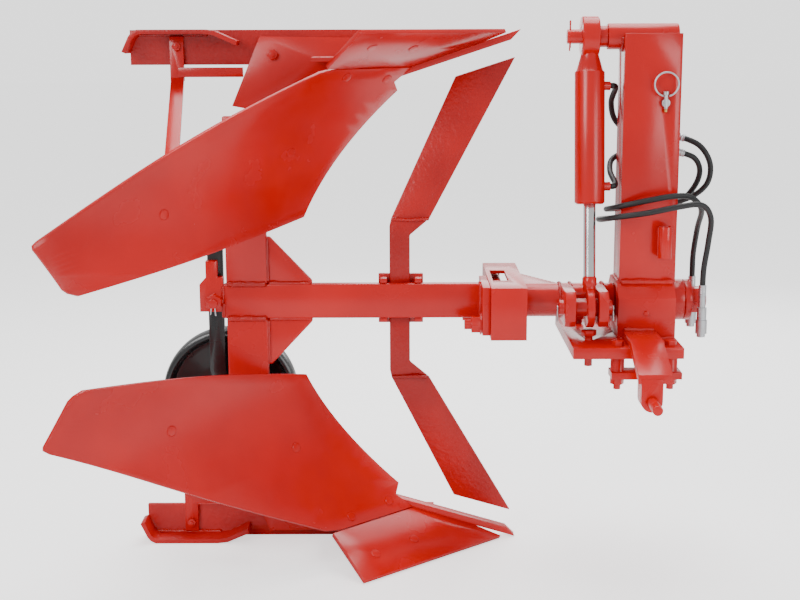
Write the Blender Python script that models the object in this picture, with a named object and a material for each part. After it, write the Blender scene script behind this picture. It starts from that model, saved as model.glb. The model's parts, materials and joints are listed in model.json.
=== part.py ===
# Single-furrow hydraulic reversible mouldboard plough for a small tractor.
#
# +X is the direction of travel, +Y the land (unploughed) side, +Z up. The plough is laid out about the
# turnover axis, and is moved at the end so that the origin lies on the ground under the middle of its box.
# The working body hangs below the beam and its mirror image stands above it.

import math

import bmesh
import bpy
from mathutils import Matrix, Vector

# ---------------------------------------------------------------- driving dimensions, metres
seatGap = 0.0003            # left between pieces that touch
boltRadius = 0.008

groundDrop = 0.618          # turnover axis down to the furrow bottom

beamHeight = 0.080
beamThickness = 0.025
beamRear = -0.410           # rear end of the beam
beamFront = 0.185           # front end, where its end plate begins
endPlateThickness = 0.018
endPlateHalfWidth = 0.080
endPlateZ = (-0.068, 0.043)
endPlateBoltY = 0.050
endPlateBoltZ = -0.047
endPlateBoltRadius = 0.012

legRear = -0.403
legFront = -0.309
legFoot = 0.425             # depth of its lower end
gussetReach = 0.104
gussetDrop = 0.110
gussetThickness = 0.012

crossTubeSize = 0.081       # along the beam
crossTubeZ = (-0.075, 0.045)
crossTubeNear = -0.100
crossTubeFar = 0.250
crossTubeWall = 0.008
crossTubeWindowX = (0.010, 0.046)    # openings in its top and bottom, from its rear face
crossTubeWindowY = (0.002, 0.140)
braceReach = 0.080          # plates ahead of the cross tube
braceThickness = 0.010
offsetScrewRadius = 0.012
offsetScrewZ = 0.012

shaftRadius = 0.039         # between cross tube and bearing
journalRadius = 0.034       # inside the bearing
journalPlay = 0.0008
collarRadius = 0.047
collarGap = 0.0015          # between bearing block and collar
collarEnd = 0.668
threadRadius = 0.020        # for the castle nut
threadEnd = 0.705
castleNutWidth = 0.056      # across its flats

crankRadius = 0.095         # turnover axis to crank pin
crankPinHeadRadius = 0.017
rodBushingRadius = 0.020
bushingPlay = 0.0008
lugHalfHeight = 0.040
lugReach = 0.133
lugRearX = (0.367, 0.391)
lugFrontX = (0.4425, 0.4645)

cylinderX = 0.425           # plane of the lift cylinder
cylinderPinHeight = 0.600
barrelRadius = 0.0337
barrelTop = 0.076           # distances down from the upper pin
barrelBottom = 0.375
barrelBore = 0.0142
rodRadius = 0.0135
rodInside = 0.140           # length of rod left inside the barrel at rest
eyeRadius = 0.045
barrelEyeHalfWidth = 0.019
rodEyeHalfWidth = 0.008
rodNeckRadius = 0.0145
rodCollarRadius = 0.0163    # passes between the crank lugs
pinRadius = 0.016

blockX = (0.492, 0.622)
blockHalfWidth = 0.085
blockTop = 0.050
blockChamfer = 0.032
basePlateTop = -0.0745
basePlateThickness = 0.024
basePlateX = (0.380, 0.624)
basePlateHalfWidth = 0.185
clampPlateX = (0.466, 0.622)
clampPlateZ = (-0.146, -0.131)
clampPlateHalfWidth = 0.027
clampPlateInset = 0.030     # its middle in from the edge of the base plate
clampBoltX = (0.482, 0.600)

mastX = (0.497, 0.624)
mastY = (-0.054, 0.036)
mastTop = 0.607
mastWall = 0.009
mastPipeRadius = 0.029
mastPipeX = (0.464, 0.622)
mastFloor = 0.012           # bottom and top of the channel
mastHead = 0.075
topLinkX = 0.589
topLinkHeight = 0.455
topLinkPinRadius = 0.0095

linkPinRadius = 0.011       # category 1 lower link pins
linkPinX = 0.533
linkPinDrop = 0.162
linkArmX = (0.503, 0.576)
linkArmThickness = 0.020
linkArmEnd = 0.312
linkPinReach = 0.385
linkBossRadius = 0.023
linkBossLength = 0.050
linkCollarRadius = 0.019
linkArmEndTop = -0.103

mouldboardThickness = 0.007
shareThickness = 0.010
pointWidth = 0.030
pointThickness = 0.016
landsideY = 0.120
landsideThickness = 0.012
landsideHeight = 0.080
landsideRear = -0.628
skidNear = 0.062            # the runner stands out from the landside to here
skidThickness = 0.010

coulterThickness = 0.012
coulterLean = 0.28          # the blade leans to the land side, metres per metre of depth

wheelPivotX = -0.431
wheelAxleX = -0.408
wheelDrop = 0.240
wheelRadius = 0.162
wheelWidth = 0.070
wheelArmY = (0.0145, 0.0285)
wheelY = 0.040              # inner side of the wheel
wheelPinRadius = 0.011
wheelPinPlay = 0.0006
axleRadius = 0.0095
axlePlay = 0.0006

hoseRadius = 0.0066


# ---------------------------------------------------------------- scene and materials
for thing in list(bpy.data.objects):
    bpy.data.objects.remove(thing, do_unlink=True)


def makeMaterial(name, colour, roughness, metallic):
    material = bpy.data.materials.new(name)
    material.use_nodes = True
    shader = material.node_tree.nodes["Principled BSDF"]
    shader.inputs["Base Color"].default_value = (*colour, 1.0)
    shader.inputs["Roughness"].default_value = roughness
    shader.inputs["Metallic"].default_value = metallic
    return material


redPaint = makeMaterial("red_paint", (0.72, 0.02, 0.015), 0.3, 0.0)
blackPaint = makeMaterial("black_paint", (0.015, 0.015, 0.017), 0.3, 0.0)
chrome = makeMaterial("chrome", (0.75, 0.75, 0.76), 0.12, 1.0)
zincSteel = makeMaterial("zinc_steel", (0.55, 0.56, 0.58), 0.35, 1.0)
hoseRubber = makeMaterial("hose_rubber", (0.02, 0.02, 0.021), 0.5, 0.0)


# ---------------------------------------------------------------- mesh helpers
def axisFrame(axis):
    """Matrix that turns a shape built along Z so that it lies along the given axis."""
    if axis == "X":
        return Matrix(((0, 0, 1), (1, 0, 0), (0, 1, 0))).to_4x4()
    if axis == "Y":
        return Matrix(((0, 1, 0), (0, 0, 1), (1, 0, 0))).to_4x4()
    return Matrix.Identity(4)


def meshOf(points, faces):
    mesh = bpy.data.meshes.new("shape")
    mesh.from_pydata([tuple(p) for p in points], [], faces)
    work = bmesh.new()
    work.from_mesh(mesh)
    bmesh.ops.recalc_face_normals(work, faces=work.faces)
    work.to_mesh(mesh)
    work.free()
    return mesh


def loft(lower, upper):
    """Closed solid between two outlines that have the same number of points."""
    count = len(lower)
    faces = [list(range(count))[::-1], list(range(count, 2 * count))]
    for i in range(count):
        j = (i + 1) % count
        faces.append([i, j, count + j, count + i])
    return meshOf(list(lower) + list(upper), faces)


def slab(axis, outline, low, high):
    """Outline extruded along an axis: (y, z) for X, (x, z) for Y and (x, y) for Z."""
    place = {"X": lambda a, b, t: (t, a, b),
             "Y": lambda a, b, t: (a, t, b),
             "Z": lambda a, b, t: (a, b, t)}[axis]
    return loft([place(a, b, low) for a, b in outline], [place(a, b, high) for a, b in outline])


def box(x, y, z):
    return slab("Z", [(x[0], y[0]), (x[1], y[0]), (x[1], y[1]), (x[0], y[1])], z[0], z[1])


def turned(axis, centre, profile, sides=32, closed=False):
    """Profile of (distance along the axis, radius), turned round it; closed makes it a ring."""
    ring = [(math.cos(2 * math.pi * k / sides), math.sin(2 * math.pi * k / sides)) for k in range(sides)]
    points = [Vector((r * c, r * s, d)) for d, r in profile for c, s in ring]
    faces = []
    rows = len(profile)
    for row in range(rows if closed else rows - 1):
        nextRow = (row + 1) % rows
        for k in range(sides):
            n = (k + 1) % sides
            faces.append([row * sides + k, row * sides + n, nextRow * sides + n, nextRow * sides + k])
    if not closed:
        faces.append(list(range(sides))[::-1])
        faces.append([(rows - 1) * sides + k for k in range(sides)])
    turn = Matrix.Translation(Vector(centre)) @ axisFrame(axis)
    return meshOf([turn @ p for p in points], faces)


def rod(axis, centre, low, high, radius, sides=32, chamfer=0.0):
    """Round bar along an axis; low and high are measured from the centre."""
    if not chamfer:
        return turned(axis, centre, [(low, radius), (high, radius)], sides)
    ends = [(low, radius - chamfer), (low + chamfer, radius),
            (high - chamfer, radius), (high, radius - chamfer)]
    return turned(axis, centre, ends, sides)


def combine(operation, base, others):
    """Base mesh with the others joined to it or cut from it, exactly."""
    body = bpy.data.objects.new("work", base)
    bpy.context.collection.objects.link(body)
    tools = []
    for other in others:
        tool = bpy.data.objects.new("tool", other)
        bpy.context.collection.objects.link(tool)
        step = body.modifiers.new("step", "BOOLEAN")
        step.operation = operation
        step.solver = "EXACT"
        step.object = tool
        tools.append(tool)
    bpy.context.view_layer.update()
    graph = bpy.context.evaluated_depsgraph_get()
    result = bpy.data.meshes.new_from_object(body.evaluated_get(graph))
    for thing in [body] + tools:
        bpy.data.objects.remove(thing, do_unlink=True)
    return result


def union(base, *others):
    return combine("UNION", base, others)


def cut(base, *others):
    return combine("DIFFERENCE", base, others)


def mirrored(mesh, side):
    """The mesh as it is for the lower body, -1, or turned over into its mirror image for the upper, +1."""
    if side > 0:
        mesh.transform(Matrix.Diagonal((1, 1, -1, 1)))
        mesh.flip_normals()
    return mesh


def node(name, mesh, material, parent=None, smooth=35.0):
    """Named sub-part; its origin goes to its parent's, so that a moving piece turns about its own axis."""
    if parent is not None:
        mesh.transform(Matrix.Translation(-parent.location))
    mesh.name = name
    mesh.materials.clear()
    mesh.materials.append(material)
    mesh.shade_smooth()
    mesh.set_sharp_from_angle(angle=math.radians(smooth))
    thing = bpy.data.objects.new(name, mesh)
    bpy.context.collection.objects.link(thing)
    thing.parent = parent
    return thing


def pivot(name, place):
    empty = bpy.data.objects.new(name, None)
    empty.location = place
    bpy.context.collection.objects.link(empty)
    return empty


def arc(centre, radius, start, end, steps):
    """Points round an arc, angles in degrees."""
    angles = [math.radians(start + (end - start) * k / steps) for k in range(steps + 1)]
    return [(centre[0] + radius * math.cos(a), centre[1] + radius * math.sin(a)) for a in angles]


def hexBar(axis, centre, low, high, acrossFlats):
    return rod(axis, centre, low, high, acrossFlats / math.sqrt(3), sides=6)


# ---------------------------------------------------------------- plough bottom surfaces
# Depth is the distance below the turnover axis. The mouldboard is swept by level lines that run back
# from the shin, and their angle to the furrow grows towards the top, which gives the board its twist.
boardTopDepth = 0.188       # depth of the board's upper front corner
boardFootDepth = 0.530      # where board and share meet
shinTopX = -0.225
shinFootX = 0.055
shinTopY = 0.0465
shinFootY = 0.104
wingAngleTop = 48.9         # degrees from the direction of travel
wingAngleFoot = 43.5


def shinAt(depth):
    """Plan position of the shin: nearly upright at the top and running forward at the foot."""
    t = (depth - boardTopDepth) / (boardFootDepth - boardTopDepth)
    x = shinTopX + (shinFootX - shinTopX) * (0.52 * t + 0.48 * t * t)
    y = shinFootY - (shinFootY - shinTopY) * (1 - t) ** 2
    return x, y


def boardPoint(x, depth):
    """Point of the mouldboard's face at a given distance forward and depth."""
    t = (depth - boardTopDepth) / (boardFootDepth - boardTopDepth)
    shinX, shinY = shinAt(depth)
    angle = math.radians(wingAngleTop + (wingAngleFoot - wingAngleTop) * t)
    return Vector((x, shinY - (shinX - x) * math.tan(angle), -depth))


wingNear = (-0.640, 0.098)      # corners of the wing end, (x, depth)
wingFar = (-0.704, 0.216)
boardHeel = (-0.159, boardFootDepth)
wingCorner = 0.016


def along(a, b, t):
    return (a[0] + (b[0] - a[0]) * t, a[1] + (b[1] - a[1]) * t)


def boardOutline(u, v):
    """(x, depth) over the board: u runs from shin to wing, v from the top edge to the foot."""
    def shin(s):
        depth = boardTopDepth + (boardFootDepth - boardTopDepth) * s
        x, _ = shinAt(depth)
        return (x, depth)

    def top(s):
        start = shin(0)
        x, depth = along(start, wingNear, s)
        return (x, depth - 0.010 * math.sin(math.pi * s))

    def foot(s):
        x, depth = along((shinFootX, boardFootDepth), boardHeel, min(1.0, s / 0.30))
        if s > 0.30:
            t = (s - 0.30) / 0.70
            x, depth = along(boardHeel, wingFar, t)
            depth += 0.020 * math.sin(math.pi * t)
        return (x, depth)

    def wing(s):
        x, depth = along(wingNear, wingFar, s)
        ends = max(0.0, 1 - s / 0.14) ** 2 + max(0.0, 1 - (1 - s) / 0.14) ** 2
        return (x + wingCorner * ends, depth)

    corners = [shin(0), wing(0), shin(1), wing(1)]
    a, b, c, d = top(u), foot(u), shin(v), wing(v)
    out = []
    for k in range(2):
        edges = (1 - v) * a[k] + v * b[k] + (1 - u) * c[k] + u * d[k]
        blend = ((1 - u) * (1 - v) * corners[0][k] + u * (1 - v) * corners[1][k]
                 + (1 - u) * v * corners[2][k] + u * v * corners[3][k])
        out.append(edges - blend)
    return tuple(out)


def shell(surface, columns, rows, front, back):
    """Closed sheet between two copies of a surface, moved along its normals by front and back."""
    step = 1e-4

    def place(u, v):
        u0, u1 = max(0.0, u - step), min(1.0, u + step)
        v0, v1 = max(0.0, v - step), min(1.0, v + step)
        normal = (surface(u1, v) - surface(u0, v)).cross(surface(u, v1) - surface(u, v0)).normalized()
        return surface(u, v), normal

    grid = [[place(i / columns, j / rows) for i in range(columns + 1)] for j in range(rows + 1)]
    width = columns + 1
    points = [p + n * distance for distance in (front, back) for row in grid for p, n in row]
    offset = width * (rows + 1)
    faces = []
    for j in range(rows):
        for i in range(columns):
            a = j * width + i
            faces.append([a, a + 1, a + width + 1, a + width])
            faces.append([offset + a + width, offset + a + width + 1, offset + a + 1, offset + a])
    rim = [i for i in range(columns + 1)] + [j * width + columns for j in range(1, rows + 1)]
    rim += [rows * width + i for i in range(columns - 1, -1, -1)]
    rim += [j * width for j in range(rows - 1, 0, -1)]
    for k, a in enumerate(rim):
        b = rim[(k + 1) % len(rim)]
        faces.append([b, a, offset + a, offset + b])
    return meshOf(points, faces)


def boardSurface(u, v):
    x, depth = boardOutline(u, v)
    return boardPoint(x, depth)


def boardClearance(reach):
    """Space taken by the board, its seat and all that lies ahead of it, a little wider than the board."""
    return shell(lambda u, v: boardSurface(1.06 * u - 0.03, 1.06 * v - 0.03), 24, 16,
                 reach, -mouldboardThickness - 2 * seatGap)


shareTopGap = 0.002
shareTopRear = boardPoint(boardHeel[0], boardFootDepth)
shareTopFront = boardPoint(shinFootX, boardFootDepth)
shareDrop = Vector((0, 0, -shareTopGap))
shareEdgeLift = 0.0090      # the face lies this far above the sole at the cutting edge
shareWingPoint = Vector((-0.083, -0.200, -groundDrop + shareEdgeLift))
shareNosePoint = Vector((0.245, 0.088, -groundDrop + shareEdgeLift))


def shareSurface(u, v):
    """u runs from nose to wing, v from the top edge to the cutting edge."""
    top = (shareTopFront + shareDrop).lerp(shareTopRear + shareDrop, u)
    edge = shareNosePoint.lerp(shareWingPoint, u)
    return top.lerp(edge, v)


# ---------------------------------------------------------------- headstock
def buildHeadstock():
    shaftBore = rod("X", (0, 0, 0), blockX[0] - 0.01, blockX[1] + 0.01, journalRadius + journalPlay, 48)
    low = basePlateTop + seatGap
    outline = [(-blockHalfWidth, low), (blockHalfWidth, low), (blockHalfWidth, blockTop - blockChamfer),
               (blockHalfWidth - blockChamfer, blockTop), (-blockHalfWidth + blockChamfer, blockTop),
               (-blockHalfWidth, blockTop - blockChamfer)]
    node("bearing_block", cut(slab("X", outline, *blockX), shaftBore), redPaint)

    baseBottom = basePlateTop - basePlateThickness
    base = box(basePlateX, (-basePlateHalfWidth, basePlateHalfWidth), (baseBottom, basePlateTop))
    stops = []
    for y in (-crankRadius, crankRadius):
        stops.append(hexBar("Z", (cylinderX, y, 0), -0.0635, -0.0515, 0.030))
        stops.append(rod("Z", (cylinderX, y, 0), -0.134, -0.062, 0.009, 20))
        stops.append(hexBar("Z", (cylinderX, y, 0), baseBottom - 0.013, baseBottom + 0.002, 0.026))
    node("base_plate", union(base, *stops), redPaint)

    # open channel with its back to the plough: the top link enters from the tractor's side
    floor = blockTop + seatGap
    mast = box(mastX, mastY, (floor, mastTop))
    inside = box((mastX[0] + mastWall, mastX[1] + 0.01), (mastY[0] + mastWall, mastY[1] - mastWall),
                 (floor + mastFloor, mastTop - mastHead))
    pinHole = rod("Y", (topLinkX, 0, topLinkHeight), -0.1, 0.1, topLinkPinRadius + seatGap, 24)
    pipeCentre = (0, 0, cylinderPinHeight)
    pipeSeat = rod("X", pipeCentre, mastX[0] - 0.01, mastX[1] + 0.01, mastPipeRadius + seatGap, 40)
    node("mast", cut(mast, inside, pinHole, pipeSeat), redPaint)

    pipe = rod("X", pipeCentre, *mastPipeX, mastPipeRadius, 40, 0.001)
    pipeBore = rod("X", pipeCentre, mastPipeX[0] - 0.01, mastPipeX[0] + 0.060, pinRadius + seatGap, 32)
    node("mast_top_pipe", cut(pipe, pipeBore), redPaint)

    eyeFace = cylinderX + barrelEyeHalfWidth + 0.001
    topPin = union(rod("X", pipeCentre, cylinderX - 0.051, mastPipeX[0] + 0.055, pinRadius, 32, 0.001),
                   rod("X", pipeCentre, eyeFace, mastPipeX[0] - seatGap, 0.024, 32))
    node("cylinder_top_pin", topPin, redPaint)

    topLinkPin = union(rod("Y", (topLinkX, 0, topLinkHeight), mastY[0] - 0.010, mastY[1] + 0.004,
                           topLinkPinRadius, 24, 0.001),
                       rod("Y", (topLinkX, 0, topLinkHeight), mastY[1] + seatGap, mastY[1] + 0.009,
                           0.016, 24))
    node("top_link_pin", topLinkPin, zincSteel)

    node("holder_tube", turned("Z", (0.596, mastY[0] - 0.0155 - seatGap, 0), [
        (0.108, 0.0155), (0.180, 0.0155), (0.180, 0.0105), (0.108, 0.0105)], 24, closed=True), redPaint)

    node("valve_block", box((0.560, 0.628), (mastY[1] + seatGap, mastY[1] + 0.048), (0.318, 0.395)), redPaint)

    for side, name in ((-1, "right"), (1, "left")):
        buildLinkArm(side, name)
        buildClampPlate(side, "front" if side < 0 else "rear", baseBottom)


def buildLinkArm(side, name):
    """Bent bar that lies on the base plate beside the bearing and drops over its edge to the link pin."""
    root = side * (blockHalfWidth + seatGap)
    knee = side * (basePlateHalfWidth + 0.004)
    end = side * linkArmEnd
    top, bottom = basePlateTop + seatGap + linkArmThickness, basePlateTop + seatGap
    bossRoot = side * (linkArmEnd - linkBossLength)
    outline = [(root, bottom), (knee, bottom), (end, linkArmEndTop - linkArmThickness),
               (end, linkArmEndTop), (knee, top), (root, top)]
    arm = slab("X", outline, *linkArmX)
    bossOutline = arc((linkPinX, -linkPinDrop), linkBossRadius, 180, 360, 12)
    bossOutline += [(linkPinX + linkBossRadius, linkArmEndTop - 0.010),
                    (linkPinX - linkBossRadius, linkArmEndTop - 0.010)]
    boss = slab("Y", bossOutline, *sorted((bossRoot, side * (linkArmEnd + 0.002))))
    pinCentre = (linkPinX, 0, -linkPinDrop)
    hole = rod("Y", pinCentre, *sorted((side * 0.2, side * 0.4)), linkPinRadius + seatGap, 32)
    node("link_arm_" + name, cut(union(arm, boss), hole), redPaint)
    inner = bossRoot - side * 0.014
    pin = rod("Y", pinCentre, *sorted((inner, side * linkPinReach)), linkPinRadius, 32, 0.0015)
    collar = rod("Y", pinCentre, *sorted((inner, bossRoot - side * seatGap)), linkCollarRadius, 6)
    node("link_pin_" + name, union(pin, collar), redPaint)


def buildClampPlate(side, name, baseBottom):
    """Strip under the base plate, held off it by two spacers on their bolts."""
    y = side * (basePlateHalfWidth - clampPlateInset)
    low, high = clampPlateZ
    strip = box(clampPlateX, (y - clampPlateHalfWidth, y + clampPlateHalfWidth), clampPlateZ)
    pieces = []
    for x in clampBoltX:
        pieces.append(rod("Z", (x, y, 0), high - 0.002, baseBottom - seatGap, 0.0155, 24))
        pieces.append(hexBar("Z", (x, y, 0), low - 0.015, low + 0.002, 0.027))
        pieces.append(rod("Z", (x, y, 0), low - 0.027, low - 0.009, boltRadius, 16))
    node("clamp_plate_" + name, union(strip, *pieces), redPaint)


# ---------------------------------------------------------------- turning frame
def buildTurningFrame():
    tubeRear = beamFront + endPlateThickness + 2 * seatGap
    tubeX = (tubeRear, tubeRear + crossTubeSize)
    low, high = crossTubeZ
    beamHalf = beamThickness / 2

    beam = box((beamRear, beamFront), (-beamHalf, beamHalf), (-beamHeight / 2, beamHeight / 2))
    node("beam", beam, redPaint)

    plateX = (beamFront + seatGap, beamFront + seatGap + endPlateThickness)
    plate = box(plateX, (-endPlateHalfWidth, endPlateHalfWidth), endPlateZ)
    bolts = []
    for y in (-endPlateBoltY, endPlateBoltY):
        bolts.append(hexBar("X", (0, y, endPlateBoltZ), plateX[0] - 0.024, plateX[0] + 0.002, 0.036))
        bolts.append(rod("X", (0, y, endPlateBoltZ), plateX[0] - 0.040, plateX[0] - 0.020,
                         endPlateBoltRadius, 20))
    node("beam_end_plate", union(plate, *bolts), redPaint)

    wall = crossTubeWall
    tube = box(tubeX, (crossTubeNear, crossTubeFar), crossTubeZ)
    hollow = box((tubeX[0] + wall, tubeX[1] - wall), (crossTubeNear + wall, crossTubeFar + 0.01),
                 (low + wall, high - wall))
    windowX = (tubeX[0] + crossTubeWindowX[0], tubeX[0] + crossTubeWindowX[1])
    windows = [box(windowX, crossTubeWindowY, (z - 0.02, z + 0.02)) for z in crossTubeZ]
    tube = cut(tube, hollow, *windows)
    braces = []
    braceRear, braceFront = tubeX[1] - 0.001, tubeX[1] + braceReach
    for z in (wall - high, high - wall - braceThickness):
        outline = [(braceRear, 0.0), (braceFront, 0.0), (braceFront, 0.012), (braceRear, 0.150)]
        braces.append(slab("Z", outline, z, z + braceThickness))
    shaftRoom = rod("X", (0, 0, 0), tubeX[1] + seatGap, tubeX[1] + 0.2, shaftRadius + seatGap, 48)
    node("cross_tube", cut(union(tube, *braces), shaftRoom), redPaint)

    screwX = (tubeX[0] + tubeX[1]) / 2 - 0.012
    screwCentre = (screwX, 0, offsetScrewZ)
    screw = union(rod("Y", screwCentre, crossTubeNear + wall + seatGap, crossTubeFar + 0.020,
                      offsetScrewRadius, 24, 0.001),
                  hexBar("Y", screwCentre, crossTubeFar + 0.012, crossTubeFar + 0.030, 0.030))
    node("offset_screw", screw, redPaint)

    shoulder, collarRear = blockX[0] - 0.002, blockX[1] + collarGap
    groove = (collarEnd - 0.017, collarEnd - 0.015)
    shaft = turned("X", (0, 0, 0), [
        (tubeX[1] + 2 * seatGap, shaftRadius), (shoulder, shaftRadius), (shoulder, journalRadius),
        (collarRear, journalRadius), (collarRear, collarRadius), (groove[0], collarRadius),
        (groove[0], collarRadius - 0.003), (groove[1], collarRadius - 0.003), (groove[1], collarRadius),
        (collarEnd, collarRadius), (collarEnd, threadRadius), (threadEnd, threadRadius)], 40)
    node("turnover_shaft", shaft, redPaint)

    nut = union(hexBar("X", (0, 0, 0), collarEnd + seatGap, collarEnd + 0.024, castleNutWidth),
                rod("X", (0, 0, 0), collarEnd + 0.022, collarEnd + 0.032, 0.0265, 24))
    nut = cut(nut, rod("X", (0, 0, 0), collarEnd - 0.01, threadEnd + 0.01, threadRadius + seatGap, 40))
    node("castle_nut", nut, redPaint)

    for name, span, outward in (("rear", lugRearX, -1), ("front", lugFrontX, 1)):
        c = 0.014
        outline = [(-0.020, -lugHalfHeight), (-lugReach + c, -lugHalfHeight), (-lugReach, -lugHalfHeight + c),
                   (-lugReach, lugHalfHeight - c), (-lugReach + c, lugHalfHeight), (-0.020, lugHalfHeight)]
        room = rod("X", (0, 0, 0), span[0] - 0.01, span[1] + 0.01, shaftRadius + seatGap, 48)
        face = span[0] if outward < 0 else span[1]
        headEnds = sorted((face - outward * 0.004, face + outward * 0.011))
        head = rod("X", (0, -crankRadius, 0), *headEnds, crankPinHeadRadius, 24)
        node("crank_lug_" + name, cut(union(slab("X", outline, *span), head), room), redPaint)

    clampBack = beamHalf + 2 * seatGap + coulterThickness
    clamp = box((-0.052, 0.052), (clampBack, clampBack + 0.012), (-0.058, 0.058))
    hooks = [box((x - 0.008, x + 0.008), (-0.006, clampBack + 0.002), (z - 0.0055, z + 0.0055))
             for x in (-0.040, 0.040) for z in (-beamHeight / 2 - 0.006, beamHeight / 2 + 0.006)]
    node("coulter_clamp", union(clamp, *hooks), redPaint)

    bracketOutline = [(-0.465, -0.024), (beamRear - seatGap, -0.024), (beamRear - seatGap, 0.056),
                      (-0.424, 0.056), (-0.424, 0.094), (-0.450, 0.094), (-0.450, 0.056), (-0.465, 0.040)]
    bracket = slab("Y", bracketOutline, -beamHalf, beamHalf)
    pin = rod("Y", (wheelPivotX, 0, 0), -0.046, wheelArmY[1] + 0.012, wheelPinRadius, 24, 0.001)
    nutRing = hexBar("Y", (wheelPivotX, 0, 0), -0.034, -beamHalf + 0.001, 0.034)
    pinHead = rod("Y", (wheelPivotX, 0, 0), wheelArmY[1] + 0.001, wheelArmY[1] + 0.009, 0.018, 24)
    node("wheel_pivot_bracket", union(bracket, pin, nutRing, pinHead), redPaint)


def buildBottom(side, name):
    """One plough bottom, drawn as the lower one; side is -1 for the lower and +1 for the upper."""
    half = beamHeight / 2
    legHalf = beamThickness / 2
    legTop = half + seatGap
    leg = box((legRear, legFront), (-legHalf, legHalf), (-legFoot, -legTop))
    gusset = slab("Y", [(legFront - 0.001, -legTop), (legFront + gussetReach, -legTop),
                        (legFront + gussetReach, -legTop - 0.008), (legFront + 0.008, -legTop - gussetDrop),
                        (legFront - 0.001, -legTop - gussetDrop)], -gussetThickness / 2, gussetThickness / 2)
    aheadOfBoard = boardClearance(0.080)
    node("leg_" + name, mirrored(cut(union(leg, gusset), aheadOfBoard), side), redPaint)

    board = cut(shell(boardSurface, 22, 14, 0.0, -mouldboardThickness), pointBar(room=True))
    node("mouldboard_" + name, mirrored(board, side), redPaint, smooth=50)

    share = cut(shell(shareSurface, 6, 2, 0.0, -shareThickness), pointBar(room=True))
    node("share_" + name, mirrored(share, side), redPaint)

    sideY = (landsideY - 0.0123, landsideY - seatGap)
    frogPlate = slab("Y", [(-0.393, -0.442), (-0.250, -0.415), (-0.120, -0.415), (0.010, -0.560),
                           (0.060, -0.596), (-0.325, -0.602)], *sideY)
    web = box((legFront + seatGap, legFront + 0.018), (-legHalf, sideY[1] - 0.004),
              (-legFoot - 0.030, -legFoot + 0.022))
    shareSeat = shell(lambda u, v: shareSurface(0.12 + 0.70 * u, 0.05 + 0.75 * v), 4, 2,
                      -shareThickness - seatGap, -shareThickness - 0.012)
    shelf = box((-0.200, -0.02), (-0.020, sideY[1] - 0.004), (-0.556, -0.546))
    aboveShare = shell(lambda u, v: shareSurface(-0.3 + 1.6 * u, -0.6 + 2.0 * v), 4, 4,
                       0.15, -shareThickness - seatGap)
    frog = cut(union(frogPlate, web, shelf, shareSeat), aheadOfBoard, aboveShare)
    node("frog_" + name, mirrored(frog, side), redPaint)

    bottom = groundDrop - 0.001
    railY = (landsideY, landsideY + landsideThickness)
    rail = box((landsideRear, 0.080), railY, (-bottom, -bottom + landsideHeight))
    # sled runner: a strip bent up at both ends, its flat middle on the ground
    under = [(-0.638, 0.050), (-0.622, 0.016), (-0.614, 0.006), (-0.602, 0.0), (-0.450, 0.0),
             (-0.425, 0.003), (-0.372, 0.026)]
    over = [(-0.376, 0.036), (-0.428, 0.013), (-0.450, skidThickness), (-0.598, skidThickness),
            (-0.606, 0.014), (-0.613, 0.022), (-0.628, 0.054)]
    skid = slab("Y", [(x, z - groundDrop) for x, z in under + over], skidNear, landsideY + 0.001)
    node("landside_" + name, mirrored(union(rail, skid), side), redPaint)

    node("point_" + name, mirrored(pointBar(), side), redPaint)

    buildCoulter(side, name)
    buildStay(side, name)


def pointBar(room=False):
    """Reversible bar at the share's land edge, ahead of it to the tip; room is the notch it sits in."""
    rear = Vector((-0.020, 0.090, -0.520))
    tip = Vector((0.280, 0.118, -groundDrop + 0.001))
    forward = (tip - rear).normalized()
    length = (tip - rear).length
    across = Vector((0, 1, 0))
    lift = forward.cross(across).normalized()
    lift = lift if lift.z > 0 else -lift
    if room:
        outline = [(-seatGap, -seatGap), (length + 0.03, -seatGap), (length + 0.03, 0.06), (-seatGap, 0.06)]
        near, far = -pointWidth / 2 - seatGap, 0.10
    else:
        outline = [(0.0, 0.0), (length, 0.0), (length - 0.030, pointThickness), (0.0, pointThickness)]
        near, far = -pointWidth / 2, pointWidth / 2
    sides = [[rear + forward * a + lift * b + across * y for a, b in outline] for y in (near, far)]
    return loft(*sides)


def buildCoulter(side, name):
    """Knife coulter: a stem behind the beam and a blade that leans to the land side."""
    back = beamThickness / 2 + seatGap
    outline = [(-0.026, -0.002), (0.021, -0.002), (0.021, -0.150), (0.066, -0.188),
               (0.268, -0.553), (0.129, -0.509), (-0.022, -0.188), (-0.026, -0.170)]

    def lean(x, z, y):
        return (x, y + coulterLean * max(0.0, -z - 0.185), z)

    thin = [lean(x, z, back) for x, z in outline]
    thick = [lean(x, z, back + coulterThickness) for x, z in outline]
    node("coulter_" + name, mirrored(loft(thin, thick), side), redPaint)


def buildStay(side, name):
    """Flat strip from the landside's heel up to the back of the board's wing, and a short tie to the frog."""
    inner = landsideY - seatGap
    strap = box((-0.535, -0.503), (inner - 0.010, inner), (-0.602, -0.500))
    x, depth = -0.478, 0.330
    face = boardPoint(x, depth)
    wingSeat = Vector((x - 0.004, face.y + 0.020, -depth))
    low = Vector((-0.519, inner - 0.005, -0.505))
    arm = flatStrip(low, wingSeat, 0.030, 0.009)
    aheadOfBoard = boardClearance(0.060)
    tieY, tieZ = inner - 0.009, -0.520
    tie = flatStrip(Vector((-0.516, tieY, tieZ)), Vector((-0.3655, tieY, tieZ)), 0.022, 0.008)
    node("stay_" + name, mirrored(cut(union(strap, arm, tie), aheadOfBoard), side), redPaint)


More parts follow.
